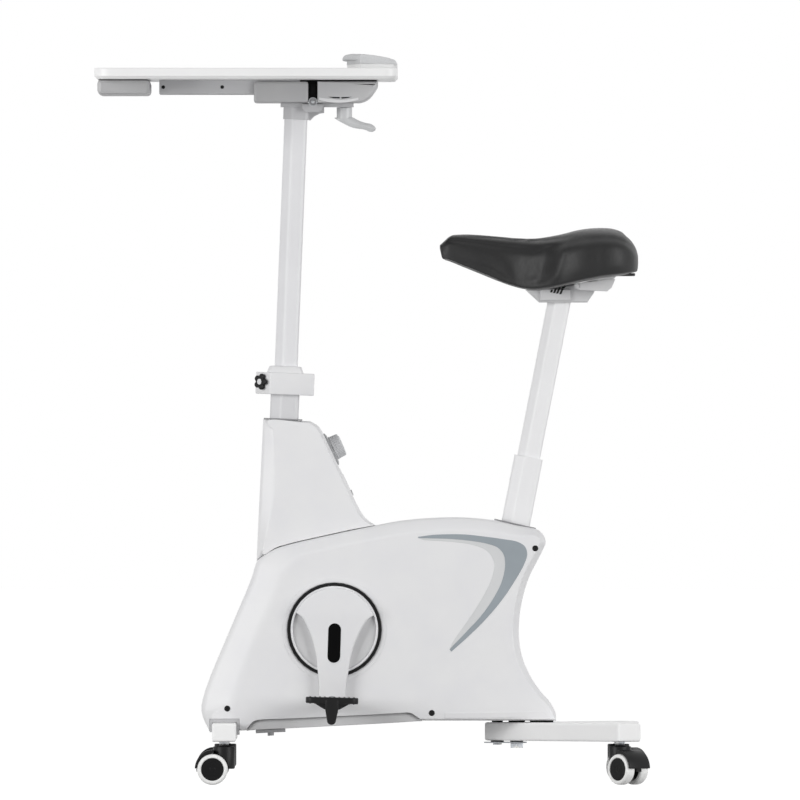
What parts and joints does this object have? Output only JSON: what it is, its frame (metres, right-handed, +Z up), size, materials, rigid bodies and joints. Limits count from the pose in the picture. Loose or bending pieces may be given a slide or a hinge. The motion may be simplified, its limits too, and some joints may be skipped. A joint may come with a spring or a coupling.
{
  "type": "desk exercise bike",
  "caption": "White upright exercise bike with a height-adjustable desktop on a mast, padded saddle, covered crank drive and castored base.",
  "frame": {"origin": "on the floor, midway between the front edge of the desktop and the rear castors, on the bike's centre plane", "axes": "+Z up; +X from the front of the desktop to the saddle; +Y away from the side seen in the picture"},
  "size_m": [0.9164, 0.64, 1.2053],
  "materials": {
    "belt_rubber": "ribbed drive belt",
    "black_leather": "soft black synthetic leather over foam",
    "black_plastic": "moulded black",
    "dark_gasket": "matt dark grey",
    "grey_plastic": "moulded mid grey",
    "laminate": "white laminated board",
    "soft_grey": "light grey soft cover over foam",
    "steel": "zinc plated steel",
    "tyre_white": "white polyurethane tread",
    "white_paint": "powder coated white",
    "white_plastic": "moulded white"
  },
  "bodies": {
    "frame": {"base_beam": "white_paint", "front_channel": "grey_plastic", "front_crossbar": "white_paint", "rear_leg_left": "white_paint", "rear_leg_right": "white_paint", "leg_bolts": "steel", "belly_plate": "white_paint", "mast_outer_tube": "white_paint", "seat_outer_tube": "white_paint", "mast_gasket": "dark_gasket", "seat_gasket": "dark_gasket", "housing_left": "white_plastic", "housing_right": "white_plastic", "neck_cover_left": "white_plastic", "neck_cover_right": "white_plastic", "crank_ring_left": "black_plastic", "crank_ring_right": "black_plastic", "mast_collar": "white_plastic", "display_panel": "black_plastic", "knob_plate": "grey_plastic", "tension_cable": "black_plastic", "drive_bracket": "steel", "drive_belt": "belt_rubber"},
    "collar_knob": {"collar_knob": "black_plastic"},
    "display_button": {"display_button": "grey_plastic"},
    "resistance_knob": {"resistance_knob": "grey_plastic"},
    "flywheel": {"flywheel": "steel"},
    "magnet_bracket": {"magnet_bracket": "steel"},
    "crank": {"crank_axle": "steel", "drive_pulley": "black_plastic", "crank_cover_left": "white_plastic", "crank_cover_right": "white_plastic"},
    "pedal_left": {"pedal_left": "black_plastic"},
    "pedal_right": {"pedal_right": "black_plastic"},
    "mast": {"mast_inner_tube": "white_paint", "post_head": "white_paint", "pivot_bolt": "steel", "slide_carriage": "grey_plastic", "lever_housing": "grey_plastic"},
    "slide_lever": {"slide_lever": "grey_plastic"},
    "desk": {"desktop": "laminate", "wrist_rest_base": "laminate", "wrist_rest_pad": "soft_grey", "rail_left": "steel", "rail_right": "steel", "desk_front_cover": "grey_plastic"},
    "seat": {"seat_inner_post": "white_paint", "gas_spring": "black_plastic", "saddle_bracket": "grey_plastic", "saddle_base": "black_plastic", "saddle_cushion": "black_leather"},
    "seat_lever": {"seat_lever": "grey_plastic"},
    "front_castor_left": {"front_castor_left_hood": "black_plastic"},
    "front_castor_left_wheels": {"front_castor_left_wheels": "tyre_white"},
    "front_castor_right": {"front_castor_right_hood": "black_plastic"},
    "front_castor_right_wheels": {"front_castor_right_wheels": "tyre_white"},
    "rear_castor_left": {"rear_castor_left_hood": "black_plastic"},
    "rear_castor_left_wheels": {"rear_castor_left_wheels": "tyre_white"},
    "rear_castor_right": {"rear_castor_right_hood": "black_plastic"},
    "rear_castor_right_wheels": {"rear_castor_right_wheels": "tyre_white"}
  },
  "joints": [
    {"name": "desk_height", "type": "slide", "parent": "frame", "child": "mast", "axis": [0.0394, 0, 0.9992], "range_m": [-0.21, 0]},
    {"name": "desk_slide", "type": "slide", "parent": "mast", "child": "desk", "axis": [1, 0, 0], "range_m": [0, 0.1]},
    {"name": "slide_lever_turn", "type": "hinge", "parent": "mast", "child": "slide_lever", "pos_m": [-0.047, 0, 1.1115], "axis": [0, 0, 1], "range_deg": [-30, 30]},
    {"name": "collar_knob_turn", "type": "hinge", "parent": "frame", "child": "collar_knob", "pos_m": [-0.18237, -0.031, 0.6642], "axis": [-0.7066, -0.7071, 0.0278], "range_deg": [0, 360]},
    {"name": "seat_height", "type": "slide", "parent": "frame", "child": "seat", "axis": [0.1925, 0, 0.9813], "range_m": [-0.21, 0]},
    {"name": "seat_lever_turn", "type": "hinge", "parent": "seat", "child": "seat_lever", "pos_m": [0.338, -0.0575, 0.8225], "axis": [0, 1, 0], "range_deg": [0, 12], "stiffness_Nm_per_rad": 1.5, "springref_deg": -14.32},
    {"name": "crank_turn", "type": "hinge", "parent": "frame", "child": "crank", "pos_m": [-0.0634, 0, 0.2544], "axis": [0, 1, 0], "continuous": true},
    {"name": "pedal_left_turn", "type": "hinge", "parent": "crank", "child": "pedal_left", "pos_m": [-0.06719, -0.1455, 0.13696], "axis": [0, 1, 0], "continuous": true},
    {"name": "pedal_right_turn", "type": "hinge", "parent": "crank", "child": "pedal_right", "pos_m": [-0.05961, 0.1455, 0.37184], "axis": [0, 1, 0], "continuous": true},
    {"name": "flywheel_turn", "type": "hinge", "parent": "frame", "child": "flywheel", "pos_m": [0.07, 0, 0.265], "axis": [0, 1, 0], "continuous": true},
    {"name": "resistance_turn", "type": "hinge", "parent": "frame", "child": "resistance_knob", "pos_m": [-0.0687, 0, 0.5526], "axis": [0.9026, 0, 0.4305], "range_deg": [-300, 0]},
    {"name": "magnet_swing", "type": "hinge", "parent": "frame", "child": "magnet_bracket", "pos_m": [0.1478, 0, 0.357], "axis": [0, 1, 0], "range_deg": [-1.5, 0]},
    {"name": "display_button_press", "type": "slide", "parent": "frame", "child": "display_button", "axis": [0.9085, 0, 0.4179], "range_m": [-0.0015, 0], "stiffness_N_per_m": 300, "springref_m": 0.001},
    {"name": "front_castor_left_swivel", "type": "hinge", "parent": "frame", "child": "front_castor_left", "pos_m": [-0.24495, -0.233, 0.065], "axis": [0, 0, 1], "continuous": true},
    {"name": "front_castor_left_roll", "type": "hinge", "parent": "front_castor_left", "child": "front_castor_left_wheels", "pos_m": [-0.26405, -0.233, 0.0254], "axis": [0, 1, 0], "continuous": true},
    {"name": "front_castor_right_swivel", "type": "hinge", "parent": "frame", "child": "front_castor_right", "pos_m": [-0.24495, 0.233, 0.065], "axis": [0, 0, 1], "continuous": true},
    {"name": "front_castor_right_roll", "type": "hinge", "parent": "front_castor_right", "child": "front_castor_right_wheels", "pos_m": [-0.26405, 0.233, 0.0254], "axis": [0, 1, 0], "continuous": true},
    {"name": "rear_castor_left_swivel", "type": "hinge", "parent": "frame", "child": "rear_castor_left", "pos_m": [0.40771, -0.20964, 0.065], "axis": [0, 0, 1], "continuous": true},
    {"name": "rear_castor_left_roll", "type": "hinge", "parent": "rear_castor_left", "child": "rear_castor_left_wheels", "pos_m": [0.42073, -0.22361, 0.0254], "axis": [-0.7314, -0.682, 0], "continuous": true},
    {"name": "rear_castor_right_swivel", "type": "hinge", "parent": "frame", "child": "rear_castor_right", "pos_m": [0.40771, 0.20964, 0.065], "axis": [0, 0, 1], "continuous": true},
    {"name": "rear_castor_right_roll", "type": "hinge", "parent": "rear_castor_right", "child": "rear_castor_right_wheels", "pos_m": [0.42073, 0.19568, 0.0254], "axis": [-0.7314, -0.682, 0], "continuous": true}
  ],
  "couplings": [
    {"joint": "flywheel_turn", "follows": "crank_turn", "ratio": 6.1818},
    {"joint": "magnet_swing", "follows": "resistance_turn", "ratio": 0.004}
  ]
}
